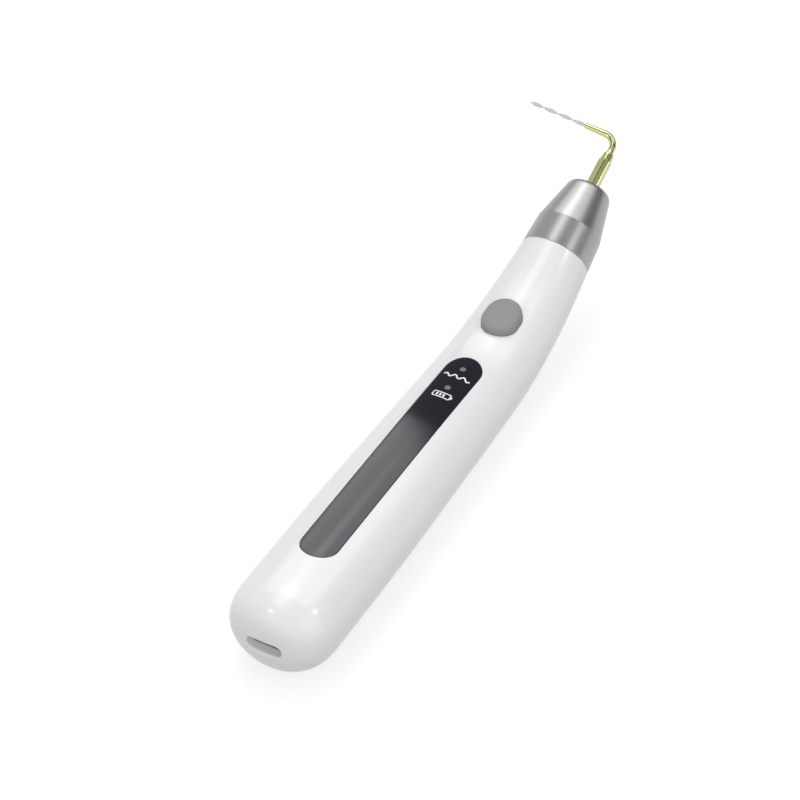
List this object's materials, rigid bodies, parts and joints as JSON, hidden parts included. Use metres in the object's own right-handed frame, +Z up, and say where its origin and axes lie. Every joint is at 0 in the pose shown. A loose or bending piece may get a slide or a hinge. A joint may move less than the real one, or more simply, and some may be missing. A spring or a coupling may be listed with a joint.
{
  "type": "ultrasonic endodontic activator",
  "caption": "Cordless handpiece with a curved casing, indicator panel, push button, steel nose and bent tip that shakes rinsing liquid in a root canal.",
  "frame": {"origin": "middle of the flat under the belly that the handpiece rests on, 55 mm in front of its rear end", "axes": "+X from the rear end towards the nose, +Y to the left of a user who looks along +X, +Z up through the button"},
  "size_m": [0.1789, 0.0383, 0.0399],
  "materials": {
    "main_housing": "glossy white moulded casing",
    "bottom_cover": "glossy white moulded cover",
    "parting_gasket": "soft silicone",
    "housing_screws": "stainless steel",
    "panel_window": "glossy very dark navy",
    "panel_adhesive": "black foam tape",
    "light_guides": "clear acrylic",
    "status_leds": "diffused lens",
    "power_button": "soft matte grey",
    "button_gasket": "soft silicone",
    "switch_plunger": "black",
    "tact_switch": "black",
    "switch_board": "green circuit board",
    "switch_ribbon": "amber flexible circuit",
    "main_board": "green circuit board",
    "board_chips": "black moulded packages",
    "drive_transformer": "dark ferrite",
    "transformer_coil": "enamelled copper wire",
    "board_screws": "stainless steel",
    "battery_cell": "blue sleeve over a metal can",
    "battery_tabs": "nickel strip",
    "battery_pad": "foam pad",
    "battery_leads": "red insulated wire",
    "usb_socket": "drawn steel shell",
    "usb_tongue": "black",
    "port_seal": "soft silicone",
    "charge_board": "green circuit board",
    "charge_leads": "black insulated wire",
    "nose_collar": "turned",
    "nose_cone": "satin stainless steel, turned",
    "nose_o_ring": "black nitrile",
    "horn": "turned",
    "horn_seal": "silicone",
    "flange_washers": "hard rubber",
    "transducer_sleeve": "amber insulating film",
    "piezo_rings": "fired piezoelectric ceramic",
    "electrodes": "thin plate",
    "back_mass": "turned",
    "preload_bolt": "blackened",
    "transducer_leads": "white insulated wire",
    "tip_holder": "pale gold nitride coating on steel",
    "tip_file": "bright twisted strip"
  },
  "bodies": {
    "handle": {"main_housing": "main_housing", "bottom_cover": "bottom_cover", "parting_gasket": "parting_gasket", "housing_screws": "housing_screws", "panel_window": "panel_window", "panel_adhesive": "panel_adhesive", "light_guides": "light_guides", "status_leds": "status_leds", "button_gasket": "button_gasket", "tact_switch": "tact_switch", "switch_board": "switch_board", "switch_ribbon": "switch_ribbon", "main_board": "main_board", "board_chips": "board_chips", "drive_transformer": "drive_transformer", "transformer_coil": "transformer_coil", "board_screws": "board_screws", "battery_cell": "battery_cell", "battery_tabs": "battery_tabs", "battery_pad": "battery_pad", "battery_leads": "battery_leads", "usb_socket": "usb_socket", "usb_tongue": "usb_tongue", "port_seal": "port_seal", "charge_board": "charge_board", "charge_leads": "charge_leads", "nose_collar": "nose_collar", "nose_cone": "nose_cone", "nose_o_ring": "nose_o_ring", "horn": "horn", "horn_seal": "horn_seal", "flange_washers": "flange_washers", "transducer_sleeve": "transducer_sleeve", "piezo_rings": "piezo_rings", "electrodes": "electrodes", "back_mass": "back_mass", "preload_bolt": "preload_bolt", "transducer_leads": "transducer_leads"},
    "button": {"power_button": "power_button"},
    "plunger": {"switch_plunger": "switch_plunger"},
    "tip": {"tip_holder": "tip_holder", "tip_file": "tip_file"}
  },
  "joints": [
    {"name": "button_press", "type": "slide", "parent": "handle", "child": "button", "axis": [0.1639, 0, -0.9865], "range_m": [0, 0.0005], "stiffness_N_per_m": 1200, "springref_m": -0.0003},
    {"name": "plunger_press", "type": "slide", "parent": "handle", "child": "plunger", "axis": [0.1639, 0, -0.9865], "range_m": [0, 0.0005]},
    {"name": "tip_turn", "type": "hinge", "parent": "handle", "child": "tip", "pos_m": [0.10882, 0, 0.02976], "axis": [0.9198, 0, 0.3923], "continuous": true}
  ],
  "couplings": [
    {"joint": "plunger_press", "follows": "button_press", "ratio": 1}
  ]
}
